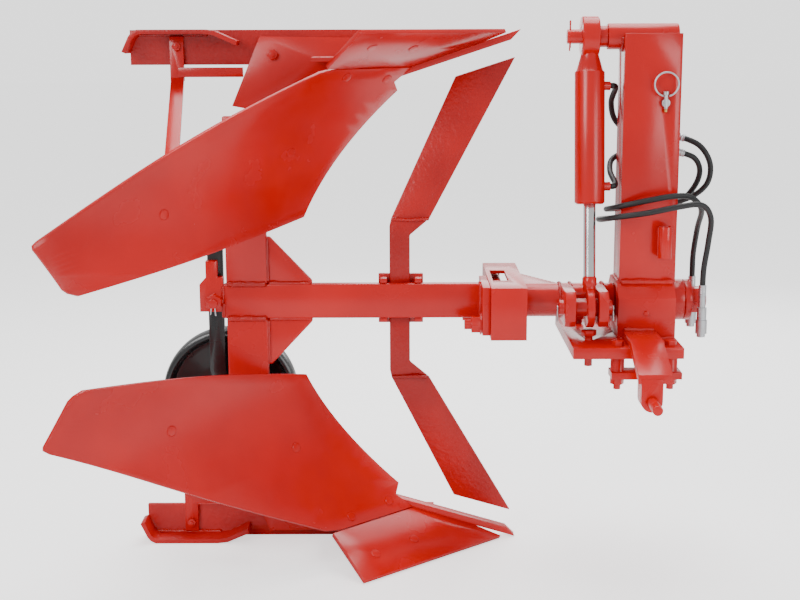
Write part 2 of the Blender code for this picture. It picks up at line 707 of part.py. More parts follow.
def flatStrip(start, end, width, thickness):
    """Straight flat bar between two points, its width as near to the X axis as it can lie."""
    forward = (end - start).normalized()
    across = Vector((1, 0, 0)) if abs(forward.x) < 0.9 else Vector((0, 0, 1))
    across = (across - forward * across.dot(forward)).normalized()
    lift = forward.cross(across)
    corners = [(-width / 2, -thickness / 2), (width / 2, -thickness / 2), (width / 2, thickness / 2),
               (-width / 2, thickness / 2)]
    return loft(*[[place + across * a + lift * b for a, b in corners] for place in (start, end)])


# ---------------------------------------------------------------- moving pieces
def buildWheel():
    axlePlace = Vector((wheelAxleX, 0, -wheelDrop))
    armPivot = pivot("wheel_arm_pivot", (wheelPivotX, 0, 0))
    low, high = wheelArmY
    kneeZ = 0.070 - wheelDrop
    outline = [(wheelPivotX - 0.018, 0.165), (wheelPivotX + 0.018, 0.165), (wheelPivotX + 0.018, kneeZ)]
    outline += [(wheelAxleX + 0.020, -wheelDrop)] + arc((wheelAxleX, -wheelDrop), 0.020, 0, -180, 10)[1:]
    outline += [(wheelPivotX - 0.018, kneeZ)]
    bar = slab("Y", outline, low, high)
    hole = rod("Y", (wheelPivotX, 0, 0), low - 0.01, high + 0.01, wheelPinRadius + wheelPinPlay, 24)
    axle = rod("Y", axlePlace, high - 0.002, wheelY + wheelWidth + 0.006, axleRadius, 24, 0.001)
    spacer = rod("Y", axlePlace, high - 0.002, wheelY - 0.0015, 0.016, 24)
    cap = rod("Y", axlePlace, wheelY + wheelWidth + 0.001, wheelY + wheelWidth + 0.012, 0.015, 6)
    node("wheel_arm", union(cut(bar, hole), axle, spacer, cap), blackPaint, armPivot)

    hubPivot = pivot("gauge_wheel_pivot", axlePlace)
    mid = wheelY + wheelWidth / 2
    r, w, t = wheelRadius, wheelWidth / 2, 0.006
    bore = axleRadius + axlePlay
    profile = [
        (mid - w, r - 0.010), (mid - w + 0.004, r), (mid + w - 0.004, r), (mid + w, r - 0.010),
        (mid + w - 0.004, r - 0.016), (mid + 0.010, r - 0.024), (mid + 0.004, 0.090), (mid + 0.016, 0.050),
        (mid + w, 0.034), (mid + w, bore), (mid - w, bore), (mid - w, 0.034),
        (mid + 0.016 - t, 0.050), (mid + 0.004 - t, 0.090), (mid - 0.004, r - 0.020),
        (mid - w + 0.004, r - 0.016)]
    node("gauge_wheel", turned("Y", axlePlace, profile, 56, closed=True), blackPaint, hubPivot)


def buildCylinder():
    place = Vector((cylinderX, 0, cylinderPinHeight))
    lean = math.atan2(crankRadius, cylinderPinHeight)
    length = math.hypot(crankRadius, cylinderPinHeight)

    swing = pivot("cylinder_pivot", place)
    swing.rotation_euler = (-lean, 0, 0)
    eye = rod("X", (0, 0, 0), -barrelEyeHalfWidth, barrelEyeHalfWidth, eyeRadius, 40, 0.002)
    body = turned("Z", (0, 0, 0), [
        (-barrelBottom, 0.029), (-barrelBottom + 0.004, barrelRadius), (-barrelTop - 0.004, barrelRadius),
        (-barrelTop, 0.030), (-0.030, 0.017)], 40)
    ports = [rod("X", (0, 0, z), 0.025, 0.046, 0.010, 16) for z in (-0.110, -0.335)]
    bore = rod("Z", (0, 0, 0), -barrelBottom - 0.01, -barrelBottom + 0.284, barrelBore, 32)
    hole = rod("X", (0, 0, 0), -0.1, 0.1, pinRadius + 0.0005, 32)
    barrel = node("cylinder_barrel", cut(union(eye, body, *ports), bore, hole), redPaint)
    barrel.parent = swing

    rodTop = -barrelBottom + rodInside
    eyeCentre = -length
    bar = turned("Z", (0, 0, 0), [
        (eyeCentre + 0.036, rodNeckRadius), (eyeCentre + 0.048, rodNeckRadius),
        (eyeCentre + 0.052, rodCollarRadius), (eyeCentre + 0.066, rodCollarRadius),
        (eyeCentre + 0.070, rodRadius), (rodTop, rodRadius)], 32)
    ring = rod("X", (0, 0, eyeCentre), -rodEyeHalfWidth, rodEyeHalfWidth, eyeRadius, 40, 0.001)
    bushingEnds = (lugRearX[1] - cylinderX + bushingPlay, lugFrontX[0] - cylinderX - bushingPlay)
    bushing = rod("X", (0, 0, eyeCentre), *bushingEnds, rodBushingRadius, 32)
    eyeRod = node("cylinder_rod", union(ring, bar, bushing), chrome)
    eyeRod.parent = swing


# ---------------------------------------------------------------- hoses
def smoothRoute(points, spacing):
    """Points evenly spaced along the Catmull-Rom curve through a route, with a straight stub at each end."""
    path = [Vector(p) for p in points]
    fine = []
    for a, b, c, d in zip(path, path[1:], path[2:], path[3:]):
        for step in range(24):
            t = step / 24
            fine.append(0.5 * (2 * b + (c - a) * t + (2 * a - 5 * b + 4 * c - d) * t * t
                               + (3 * b - a - 3 * c + d) * t ** 3))
    fine.append(path[-2])
    total = sum((q - p).length for p, q in zip(fine, fine[1:]))
    count = max(2, round(total / spacing))
    out, walked, index = [path[0], fine[0]], 0.0, 0
    for k in range(1, count):
        target = total * k / count
        while walked + (fine[index + 1] - fine[index]).length < target:
            walked += (fine[index + 1] - fine[index]).length
            index += 1
        piece = fine[index + 1] - fine[index]
        out.append(fine[index] + piece * ((target - walked) / piece.length))
    return out + [fine[-1], path[-1]]


def hose(name, points):
    curve = bpy.data.curves.new(name, "CURVE")
    curve.dimensions = "3D"
    curve.bevel_depth = hoseRadius
    curve.bevel_resolution = 2
    curve.use_fill_caps = True
    route = smoothRoute(points, 0.030)
    spline = curve.splines.new("POLY")
    spline.points.add(len(route) - 1)
    for place, point in zip(route, spline.points):
        point.co = (*place, 1.0)
    curve.materials.append(hoseRubber)
    thing = bpy.data.objects.new(name, curve)
    bpy.context.collection.objects.link(thing)
    return thing


# Each supply hose leaves the valve block behind the mast, loops out ahead of it, goes once round the mast
# and hangs down to its coupler.
supplyRoutes = {
    "supply_hose_upper": [
        (0.6280 + seatGap, 0.064, 0.372), (0.642, 0.064, 0.372), (0.690, 0.052, 0.352), (0.716, 0.048, 0.310),
        (0.712, 0.056, 0.262), (0.676, 0.072, 0.228), (0.620, 0.078, 0.212), (0.560, 0.076, 0.206),
        (0.505, 0.062, 0.204), (0.476, 0.024, 0.208), (0.474, -0.030, 0.216), (0.494, -0.068, 0.226),
        (0.550, -0.084, 0.240), (0.610, -0.084, 0.250), (0.650, -0.076, 0.246), (0.680, -0.045, 0.215),
        (0.6865, 0.020, 0.165), (0.6865, 0.056, 0.100), (0.6865, 0.060, 0.050), (0.6865, 0.060, 0.018)],
    "supply_hose_lower": [
        (0.6280 + seatGap, 0.064, 0.336), (0.642, 0.064, 0.336), (0.682, 0.064, 0.322), (0.698, 0.072, 0.290),
        (0.688, 0.086, 0.250), (0.656, 0.099, 0.212), (0.610, 0.099, 0.190), (0.555, 0.094, 0.182),
        (0.494, 0.076, 0.180), (0.460, 0.030, 0.184), (0.458, -0.034, 0.192), (0.484, -0.082, 0.203),
        (0.550, -0.102, 0.215), (0.615, -0.104, 0.228), (0.668, -0.100, 0.232), (0.694, -0.082, 0.200),
        (0.694, -0.064, 0.140), (0.688, -0.058, 0.085), (0.6865, -0.058, 0.045), (0.6865, -0.058, 0.018)],
}
couplerNames = {"supply_hose_upper": "coupler_upper", "supply_hose_lower": "coupler_lower"}
couplerProfile = [(0.0, 0.0080), (-0.0250, 0.0080), (-0.0260, 0.0110), (-0.0540, 0.0110), (-0.0550, 0.0130),
                  (-0.0860, 0.0130), (-0.0870, 0.0095), (-0.0940, 0.0095)]

shortRoutes = {
    "cylinder_hose_upper": [
        (cylinderX + 0.0465, -0.0172, 0.4914), (0.479, -0.0172, 0.4914), (0.486, 0.004, 0.484),
        (0.482, 0.036, 0.452), (0.494, 0.057, 0.412), (0.524, 0.0600, 0.384), (0.546, 0.0600, 0.378),
        (0.5597, 0.0600, 0.378)],
    "cylinder_hose_lower": [
        (cylinderX + 0.0465, -0.0524, 0.2691), (0.479, -0.0524, 0.2691), (0.486, -0.026, 0.274),
        (0.481, 0.020, 0.296), (0.490, 0.054, 0.320), (0.522, 0.0610, 0.336), (0.546, 0.0600, 0.338),
        (0.5597, 0.0600, 0.338)],
}


def buildHoses():
    for name, route in supplyRoutes.items():
        hose(name, route)
        x, y, z = route[-1]
        node(couplerNames[name], turned("Z", (x, y, z - seatGap), couplerProfile, 24), zincSteel)
    for name, route in shortRoutes.items():
        hose(name, route)


# ---------------------------------------------------------------- whole plough
buildHeadstock()
buildTurningFrame()
for bodySide, bodyName in ((-1, "lower"), (1, "upper")):
    buildBottom(bodySide, bodyName)
buildWheel()
buildCylinder()
buildHoses()

def boxOf(things):
    """Lowest and highest corner of the given objects in world space."""
    graph = bpy.context.evaluated_depsgraph_get()
    corners = []
    for thing in things:
        shape = thing.evaluated_get(graph)
        corners += [thing.matrix_world @ vertex.co for vertex in shape.data.vertices]
    return [min(c[k] for c in corners) for k in range(3)], [max(c[k] for c in corners) for k in range(3)]


bpy.context.view_layer.update()
hung = set(couplerNames.values())
low, high = boxOf([thing for thing in bpy.data.objects if thing.type == "MESH" and thing.name not in hung])
shift = Vector((-round((low[0] + high[0]) / 2, 4), -round((low[1] + high[1]) / 2, 4), -round(low[2], 4)))
for thing in bpy.data.objects:
    if thing.parent is None:
        thing.location += shift
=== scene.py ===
import json
import math

import bmesh
import bpy
import numpy as np
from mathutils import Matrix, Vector
from mathutils.bvhtree import BVHTree

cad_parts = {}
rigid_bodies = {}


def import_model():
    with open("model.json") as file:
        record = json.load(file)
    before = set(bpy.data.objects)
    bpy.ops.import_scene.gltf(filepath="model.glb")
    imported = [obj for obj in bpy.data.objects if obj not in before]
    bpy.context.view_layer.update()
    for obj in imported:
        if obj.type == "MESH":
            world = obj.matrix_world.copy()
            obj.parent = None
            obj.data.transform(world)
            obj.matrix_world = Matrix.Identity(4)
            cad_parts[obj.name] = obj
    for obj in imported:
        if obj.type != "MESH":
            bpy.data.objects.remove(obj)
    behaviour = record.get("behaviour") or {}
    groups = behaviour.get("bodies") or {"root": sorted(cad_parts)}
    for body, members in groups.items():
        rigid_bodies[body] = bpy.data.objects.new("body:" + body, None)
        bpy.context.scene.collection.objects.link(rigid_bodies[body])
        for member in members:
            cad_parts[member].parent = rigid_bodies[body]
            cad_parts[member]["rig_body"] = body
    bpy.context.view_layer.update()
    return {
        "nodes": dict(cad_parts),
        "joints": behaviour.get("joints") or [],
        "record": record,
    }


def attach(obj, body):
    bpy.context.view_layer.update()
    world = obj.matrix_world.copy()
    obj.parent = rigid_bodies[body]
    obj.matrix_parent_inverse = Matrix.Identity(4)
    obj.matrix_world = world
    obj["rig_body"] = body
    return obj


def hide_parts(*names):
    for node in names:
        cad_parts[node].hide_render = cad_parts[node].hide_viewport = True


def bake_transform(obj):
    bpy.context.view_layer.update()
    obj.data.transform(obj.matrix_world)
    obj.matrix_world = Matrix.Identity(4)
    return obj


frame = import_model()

joints = {joint["name"]: joint for joint in frame["joints"]}
# every place below is measured from the turnover axis where the beam's frame has its zero
origin = np.array(joints["turnover"]["pos_m"]) - np.array([0.5, 0.0, 0.0])


def at(x, y, z):
    return origin + np.array([x, y, z])


cameraView = {"distance": 3.25, "pitch": 11.0, "roll": 0.18, "lens": 63.0, "sensor": 36.0, "farClip": 60.0}


def makeCamera():
    pitch = math.radians(cameraView["pitch"])
    data = bpy.data.cameras.new("studioCamera")
    data.lens = cameraView["lens"]
    data.sensor_width = cameraView["sensor"]
    data.clip_end = cameraView["farClip"]
    camera = bpy.data.objects.new("studioCamera", data)
    back = np.array([0.0, -math.cos(pitch), math.sin(pitch)]) * cameraView["distance"]
    camera.location = origin + back
    camera.rotation_euler = (math.pi / 2 - pitch, math.radians(cameraView["roll"]), 0.0)
    bpy.context.scene.collection.objects.link(camera)
    bpy.context.scene.camera = camera


makeCamera()
print("camera ready")


# the places each hose runs through, from its fitting to its hanging end or to the cylinder's port
hoseValues = {"radius": 0.0066, "roundness": 4, "supplySteps": 6, "shortSteps": 8, "shortSides": 16}
supplyRoutes = {
    "supply_hose_upper": [
        (0.6283, 0.064, 0.372), (0.642, 0.064, 0.372), (0.690, 0.052, 0.352), (0.716, 0.048, 0.310),
        (0.712, 0.056, 0.262), (0.676, 0.072, 0.228), (0.620, 0.078, 0.212), (0.560, 0.076, 0.206),
        (0.505, 0.062, 0.204), (0.476, 0.024, 0.208), (0.474, -0.030, 0.216), (0.494, -0.068, 0.226),
        (0.550, -0.084, 0.240), (0.610, -0.084, 0.250), (0.650, -0.076, 0.246), (0.680, -0.045, 0.215),
        (0.6865, 0.020, 0.165), (0.6865, 0.056, 0.100), (0.6865, 0.060, 0.050), (0.6865, 0.060, 0.018)],
    "supply_hose_lower": [
        (0.6283, 0.064, 0.336), (0.642, 0.064, 0.336), (0.682, 0.064, 0.322), (0.698, 0.072, 0.290),
        (0.688, 0.086, 0.250), (0.656, 0.099, 0.212), (0.610, 0.099, 0.190), (0.555, 0.094, 0.182),
        (0.494, 0.076, 0.180), (0.460, 0.030, 0.184), (0.458, -0.034, 0.192), (0.484, -0.082, 0.203),
        (0.550, -0.102, 0.215), (0.615, -0.104, 0.228), (0.668, -0.100, 0.232), (0.694, -0.082, 0.200),
        (0.694, -0.064, 0.140), (0.688, -0.058, 0.085), (0.6865, -0.058, 0.045), (0.6865, -0.058, 0.018)]}
shortRoutes = {
    "cylinder_hose_upper": [
        (0.4715, -0.0172, 0.4914), (0.479, -0.0172, 0.4914), (0.486, 0.004, 0.484), (0.482, 0.036, 0.452),
        (0.494, 0.057, 0.412), (0.524, 0.0600, 0.384), (0.546, 0.0600, 0.378), (0.5597, 0.0600, 0.378)],
    "cylinder_hose_lower": [
        (0.4715, -0.0524, 0.2691), (0.479, -0.0524, 0.2691), (0.486, -0.026, 0.274), (0.481, 0.020, 0.296),
        (0.490, 0.054, 0.320), (0.522, 0.0610, 0.336), (0.546, 0.0600, 0.338), (0.5597, 0.0600, 0.338)]}


def smoothLine(points, steps):
    # each stretch is a cubic through its own two points, its slopes taken from their neighbours (Catmull-Rom);
    # the first and the last stretch stay straight
    p = np.array(points, float)
    t = np.linspace(0, 1, steps, endpoint=False)[None, :, None]
    a, b, c, d = p[:-3, None], p[1:-2, None], p[2:-1, None], p[3:, None]
    curve = 0.5 * (2 * b + (c - a) * t + (2 * a - 5 * b + 4 * c - d) * t ** 2
                   + (3 * b - a - 3 * c + d) * t ** 3)
    return np.vstack([p[:1], curve.reshape(-1, 3), p[-2:]]) + origin


def lengthOf(line):
    return float(np.linalg.norm(np.diff(line, axis=0), axis=1).sum())


def curveHose(name, line, radius):
    # every point keeps a curve's usual radius of 1, and by that much the hose's own box reads too big
    curve = bpy.data.curves.new(name, "CURVE")
    curve.dimensions = "3D"
    curve.bevel_depth = radius
    curve.bevel_resolution = hoseValues["roundness"]
    curve.use_fill_caps = True
    spline = curve.splines.new("POLY")
    spline.points.add(len(line) - 1)
    spline.points.foreach_set("co", np.hstack([line, np.ones((len(line), 1))]).ravel())
    piece = bpy.data.objects.new(name, curve)
    bpy.context.scene.collection.objects.link(piece)
    return piece


supplyHoses = {}
for hoseName, route in supplyRoutes.items():
    line = smoothLine(route, hoseValues["supplySteps"])
    supplyHoses[hoseName] = curveHose("hose_" + hoseName.split("_")[-1], line, hoseValues["radius"])
    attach(supplyHoses[hoseName], "headstock")
    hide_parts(hoseName)
    print(hoseName, "length", round(lengthOf(line), 3))


def newGroup(name, inputs, outputs):
    group = bpy.data.node_groups.new(name, "ShaderNodeTree")
    for label, kind, value in inputs:
        socket = group.interface.new_socket(label, in_out="INPUT", socket_type="NodeSocket" + kind)
        socket.default_value = value
    for label, kind in outputs:
        group.interface.new_socket(label, in_out="OUTPUT", socket_type="NodeSocket" + kind)
    return group, group.nodes.new("NodeGroupInput"), group.nodes.new("NodeGroupOutput")


def addNoise(tree, vector, scaleFrom, detail, roughness=0.5):
    noise = tree.nodes.new("ShaderNodeTexNoise")
    noise.inputs["Detail"].default_value = detail
    noise.inputs["Roughness"].default_value = roughness
    tree.links.new(vector, noise.inputs["Vector"])
    if isinstance(scaleFrom, (int, float)):
        noise.inputs["Scale"].default_value = scaleFrom
    else:
        tree.links.new(scaleFrom, noise.inputs["Scale"])
    return noise.outputs["Fac"]


def addRange(tree, value, low, high, toLow=0.0, toHigh=1.0):
    node = tree.nodes.new("ShaderNodeMapRange")
    node.inputs["From Min"].default_value = low
    node.inputs["From Max"].default_value = high
    node.inputs["To Min"].default_value = toLow
    node.inputs["To Max"].default_value = toHigh
    tree.links.new(value, node.inputs["Value"])
    return node.outputs["Result"]


def addMath(tree, operation, first, second):
    node = tree.nodes.new("ShaderNodeMath")
    node.operation = operation
    for slotIndex, value in enumerate((first, second)):
        if isinstance(value, (int, float)):
            node.inputs[slotIndex].default_value = value
        else:
            tree.links.new(value, node.inputs[slotIndex])
    return node.outputs["Value"]


# scale, detail and roughness of a noise, its low and high, and what those two become
noiseBands = {"drift": (3.5, 3.0, 0.5, 0.38, 0.64, 0.0, 1.0), "dust": (38.0, 6.0, 0.7, 0.60, 0.78, 0.0, 0.03),
              "gloss": (9.0, 4.0, 0.5, 0.3, 0.7, -0.04, 0.08), "nibs": (420.0, 1.0, 0.5, 0.70, 0.80, 0.0, 0.35),
              "stain": (26.0, 6.0, 0.65, 0.45, 0.75, 0.0, 1.0),
              "smudge": (14.0, 4.0, 0.5, 0.3, 0.7, -0.05, 0.12)}


def addBand(tree, vector, band):
    scale, detail, roughness, low, high, toLow, toHigh = noiseBands[band]
    return addRange(tree, addNoise(tree, vector, scale, detail, roughness), low, high, toLow, toHigh)


sprayValues = {"dust": (0.42, 0.16, 0.12, 1), "peelDetail": 2.0, "waveScale": 14.0, "waveDetail": 1.0,
               "waveShare": 0.8, "bump": 0.002}


def makeSprayGroup():
    # sprayed enamel: slow drift of shade, fine orange peel, small dust nibs and a thin film of yard dust
    group, source, sink = newGroup("sprayedEnamel", [
        ("Colour", "Color", (0.8, 0.01, 0.01, 1)), ("Deep Colour", "Color", (0.5, 0.0, 0.0, 1)),
        ("Peel Size", "Float", 260.0), ("Peel Depth", "Float", 0.06), ("Roughness", "Float", 0.25)],
        [("Colour", "Color"), ("Roughness", "Float"), ("Normal", "Vector")])
    place = group.nodes.new("ShaderNodeTexCoord").outputs["Object"]
    mix = group.nodes.new("ShaderNodeMix")
    mix.data_type = "RGBA"
    group.links.new(addBand(group, place, "drift"), mix.inputs["Factor"])
    group.links.new(source.outputs["Deep Colour"], mix.inputs["A"])
    group.links.new(source.outputs["Colour"], mix.inputs["B"])
    dusty = group.nodes.new("ShaderNodeMix")
    dusty.data_type = "RGBA"
    dusty.inputs["B"].default_value = sprayValues["dust"]
    group.links.new(addBand(group, place, "dust"), dusty.inputs["Factor"])
    group.links.new(mix.outputs["Result"], dusty.inputs["A"])
    group.links.new(dusty.outputs["Result"], sink.inputs["Colour"])
    rough = addMath(group, "ADD", source.outputs["Roughness"], addBand(group, place, "gloss"))
    group.links.new(rough, sink.inputs["Roughness"])
    peel = addNoise(group, place, source.outputs["Peel Size"], sprayValues["peelDetail"])
    wave = addNoise(group, place, sprayValues["waveScale"], sprayValues["waveDetail"])
    wave = addMath(group, "MULTIPLY", wave, sprayValues["waveShare"])
    height = addMath(group, "ADD", addMath(group, "ADD", peel, addBand(group, place, "nibs")), wave)
    bump = group.nodes.new("ShaderNodeBump")
    bump.inputs["Distance"].default_value = sprayValues["bump"]
    group.links.new(source.outputs["Peel Depth"], bump.inputs["Strength"])
    group.links.new(height, bump.inputs["Height"])
    group.links.new(bump.outputs["Normal"], sink.inputs["Normal"])
    return group


metalValues = {"stretch": (1.0, 1.0, 30.0), "scratchScale": 40.0, "scratchDetail": 3.0, "bump": 0.001}


def makeMetalGroup():
    # bare metal: fine scratches along one axis, smudged roughness and a slight stain
    group, source, sink = newGroup("wornMetal", [
        ("Colour", "Color", (0.7, 0.7, 0.7, 1)), ("Stain", "Color", (0.3, 0.27, 0.22, 1)),
        ("Stain Amount", "Float", 0.25), ("Roughness", "Float", 0.25), ("Scratch Depth", "Float", 0.1)],
        [("Colour", "Color"), ("Roughness", "Float"), ("Normal", "Vector")])
    place = group.nodes.new("ShaderNodeTexCoord").outputs["Object"]
    stretch = group.nodes.new("ShaderNodeMapping")
    stretch.inputs["Scale"].default_value = metalValues["stretch"]
    group.links.new(place, stretch.inputs["Vector"])
    stain = addMath(group, "MULTIPLY", addBand(group, place, "stain"), source.outputs["Stain Amount"])
    mix = group.nodes.new("ShaderNodeMix")
    mix.data_type = "RGBA"
    group.links.new(stain, mix.inputs["Factor"])
    group.links.new(source.outputs["Colour"], mix.inputs["A"])
    group.links.new(source.outputs["Stain"], mix.inputs["B"])
    group.links.new(mix.outputs["Result"], sink.inputs["Colour"])
    rough = addMath(group, "ADD", source.outputs["Roughness"], addBand(group, place, "smudge"))
    group.links.new(rough, sink.inputs["Roughness"])
    bump = group.nodes.new("ShaderNodeBump")
    bump.inputs["Distance"].default_value = metalValues["bump"]
    group.links.new(source.outputs["Scratch Depth"], bump.inputs["Strength"])
    scratches = addNoise(group, stretch.outputs["Vector"], metalValues["scratchScale"],
                         metalValues["scratchDetail"])
    group.links.new(scratches, bump.inputs["Height"])
    group.links.new(bump.outputs["Normal"], sink.inputs["Normal"])
    return group


sprayGroup = makeSprayGroup()
metalGroup = makeMetalGroup()


def finishFrom(name, group, values, metallic=0.0, coat=0.0, coatRoughness=0.05):
    material = bpy.data.materials.new(name)
    material.use_nodes = True
    tree = material.node_tree
    shader = tree.nodes["Principled BSDF"]
    shader.inputs["Metallic"].default_value = metallic
    shader.inputs["Coat Weight"].default_value = coat
    shader.inputs["Coat Roughness"].default_value = coatRoughness
    node = tree.nodes.new("ShaderNodeGroup")
    node.node_tree = group
    for label, value in values.items():
        node.inputs[label].default_value = value
    tree.links.new(node.outputs["Colour"], shader.inputs["Base Color"])
    tree.links.new(node.outputs["Roughness"], shader.inputs["Roughness"])
    tree.links.new(node.outputs["Normal"], shader.inputs["Normal"])
    return material


redEnamel = finishFrom("red_enamel", sprayGroup, {
    "Colour": (0.62, 0.0003, 0.0003, 1), "Deep Colour": (0.50, 0.0002, 0.0002, 1),
    "Peel Size": 240.0, "Peel Depth": 0.06, "Roughness": 0.22}, coat=0.05, coatRoughness=0.12)
roughRed = finishFrom("rough_red", sprayGroup, {
    "Colour": (0.56, 0.0003, 0.0003, 1), "Deep Colour": (0.36, 0.0002, 0.0002, 1),
    "Peel Size": 95.0, "Peel Depth": 0.75, "Roughness": 0.34}, coat=0.05, coatRoughness=0.2)
weldRed = finishFrom("weld_red", sprayGroup, {
    "Colour": (0.58, 0.0003, 0.0003, 1), "Deep Colour": (0.32, 0.0002, 0.0002, 1),
    "Peel Size": 300.0, "Peel Depth": 0.5, "Roughness": 0.25}, coat=0.1, coatRoughness=0.12)
blackEnamel = finishFrom("black_enamel", sprayGroup, {
    "Colour": (0.012, 0.012, 0.013, 1), "Deep Colour": (0.006, 0.006, 0.007, 1),
    "Peel Size": 240.0, "Peel Depth": 0.12, "Roughness": 0.24}, coat=0.4, coatRoughness=0.1)
hoseRubber = finishFrom("hose_rubber_skin", sprayGroup, {
    "Colour": (0.016, 0.016, 0.017, 1), "Deep Colour": (0.009, 0.009, 0.010, 1),
    "Peel Size": 520.0, "Peel Depth": 0.35, "Roughness": 0.42})
chromeSkin = finishFrom("hard_chrome", metalGroup, {
    "Colour": (0.80, 0.80, 0.81, 1), "Stain Amount": 0.10,
    "Roughness": 0.14, "Scratch Depth": 0.04}, metallic=1.0)
zincSkin = finishFrom("zinc_plate", metalGroup, {
    "Colour": (0.62, 0.63, 0.66, 1), "Stain": (0.38, 0.35, 0.28, 1), "Stain Amount": 0.35,
    "Roughness": 0.30, "Scratch Depth": 0.25}, metallic=1.0)
brassSkin = finishFrom("brass", metalGroup, {
    "Colour": (0.72, 0.50, 0.18, 1), "Stain": (0.40, 0.26, 0.09, 1), "Stain Amount": 0.4,
    "Roughness": 0.28, "Scratch Depth": 0.15}, metallic=1.0)
skins = {"red_paint": redEnamel, "black_paint": blackEnamel, "chrome": chromeSkin,
         "zinc_steel": zincSkin, "hose_rubber": hoseRubber}
for piece in supplyHoses.values():
    piece.data.materials.append(hoseRubber)
print("materials ready")


def addPiece(name, points, faces, material, body, slotName, smooth=35.0):
    mesh = bpy.data.meshes.new(name)
    mesh.from_pydata(np.asarray(points, float).tolist(), [], faces)
    work = bmesh.new()
    work.from_mesh(mesh)
    bmesh.ops.remove_doubles(work, verts=work.verts, dist=1e-6)
    bmesh.ops.recalc_face_normals(work, faces=work.faces)
    work.to_mesh(mesh)
    work.free()
    mesh.materials.append(material)
    mesh.shade_smooth()
    mesh.set_sharp_from_angle(angle=math.radians(smooth))
    piece = bpy.data.objects.new(name, mesh)
    bpy.context.scene.collection.objects.link(piece)
    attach(piece, body)
    return piece


def gridFaces(rows, columns, start=0, closeColumns=True, closeRows=False, caps=True):
    # quads between neighbouring rows and columns of a grid, each row a ring when its columns close
    last = columns if closeColumns else columns - 1
    r, c = np.meshgrid(np.arange(rows if closeRows else rows - 1), np.arange(last), indexing="ij")
    down, right = (r + 1) % rows, (c + 1) % columns
    quads = np.stack([r * columns + c, r * columns + right, down * columns + right, down * columns + c], -1)
    faces = (quads.reshape(-1, 4) + start).tolist()
    if caps and not closeRows:
        faces.append((np.arange(columns)[::-1] + start).tolist())
        faces.append((np.arange(columns) + (rows - 1) * columns + start).tolist())
    return faces


def axisTurn(axis):
    # rows are the directions of a shape's own x, y and z when its z is laid along the axis
    return {"X": np.array([[0, 1, 0], [0, 0, 1], [1, 0, 0]]), "Y": np.array([[0, 0, 1], [1, 0, 0], [0, 1, 0]]),
            "Z": np.eye(3)}[axis]


def turnedGrid(axis, centre, profile, sides, close=False):
    # a profile of (distance along the axis, radius) carried round the axis
    profile = np.array(profile, float)
    angle = np.linspace(0, 2 * np.pi, sides, endpoint=False)
    x = profile[:, 1:] * np.cos(angle)
    y = profile[:, 1:] * np.sin(angle)
    z = np.repeat(profile[:, :1], sides, 1)
    points = np.stack([x, y, z], -1).reshape(-1, 3) @ axisTurn(axis) + np.asarray(centre)
    return points, gridFaces(len(profile), sides, closeRows=close)


hexValues = {"disc": 0.97, "wallTop": 0.80, "crownTop": 0.96, "crown": 1.06, "face": 0.93}


def hexGrid(direction, centre, acrossFlats, height, sides=36):
    # a ring whose radius is the half width over the cosine of the angle to the nearest flat, its top corners
    # taken down to a circle
    angle = np.linspace(0, 2 * np.pi, sides, endpoint=False)
    flat = acrossFlats / 2 / np.cos((angle + np.pi / 6) % (np.pi / 3) - np.pi / 6)
    disc = np.full(sides, acrossFlats / 2 * hexValues["disc"])
    rings = [(0.0, flat), (height * hexValues["wallTop"], flat),
             (height * hexValues["crownTop"], np.minimum(flat, disc * hexValues["crown"])),
             (height, disc * hexValues["face"])]
    z = np.array(direction, float) / np.linalg.norm(direction)
    x = np.cross(z, [0.31, 0.12, 0.94] if abs(z[2]) < 0.9 else [1.0, 0.0, 0.0])
    x /= np.linalg.norm(x)
    y = np.cross(z, x)
    spokes = np.cos(angle)[:, None] * x + np.sin(angle)[:, None] * y
    points = np.vstack([r[:, None] * spokes + z * h for h, r in rings]) + np.asarray(centre)
    return points, gridFaces(len(rings), sides)


def joined(shapes):
    # several (points, faces) as one, each later set of faces counted on from the points before it
    points, faces, start = [], [], 0
    for somePoints, someFaces in shapes:
        points.append(somePoints)
        faces += [[index + start for index in face] for face in someFaces]
        start += len(somePoints)
    return np.vstack(points), faces


def pathFrames(path):
    # directions along a path and two across it, kept from spinning by starting each from one fixed direction
    tangent = np.gradient(path, axis=0)
    tangent /= np.linalg.norm(tangent, axis=1)[:, None]
    guide = np.array([0.37, 0.85, 0.41])
    side = np.cross(tangent, guide)
    side /= np.linalg.norm(side, axis=1)[:, None]
    return side, np.cross(tangent, side)


def tubeGrid(path, radius, sides, close=False):
    # a circle of the radius given at each point of a path, square to the path there
    path = np.asarray(path, float)
    side, lift = pathFrames(path)
    if close:
        tangent = np.roll(path, -1, 0) - np.roll(path, 1, 0)
        tangent /= np.linalg.norm(tangent, axis=1)[:, None]
        normal = np.cross(path[0] - path.mean(0), path[len(path) // 4] - path.mean(0))
        lift = np.repeat((normal / np.linalg.norm(normal))[None], len(path), 0)
        side = np.cross(tangent, lift)
    angle = np.linspace(0, 2 * np.pi, sides, endpoint=False)[None, :, None]
    radius = np.broadcast_to(np.asarray(radius, float), (len(path),))[:, None, None]
    points = path[:, None] + radius * (np.cos(angle) * side[:, None] + np.sin(angle) * lift[:, None])
    return points.reshape(-1, 3), gridFaces(len(path), sides, closeRows=close)


beadValues = {"step": 0.0011, "wanderStep": 0.012, "swell": 0.13, "rippleLength": 0.0046, "wander": 0.14,
              "tipLength": 0.8, "tipSize": 0.35, "lift": 0.0007, "sides": 10}


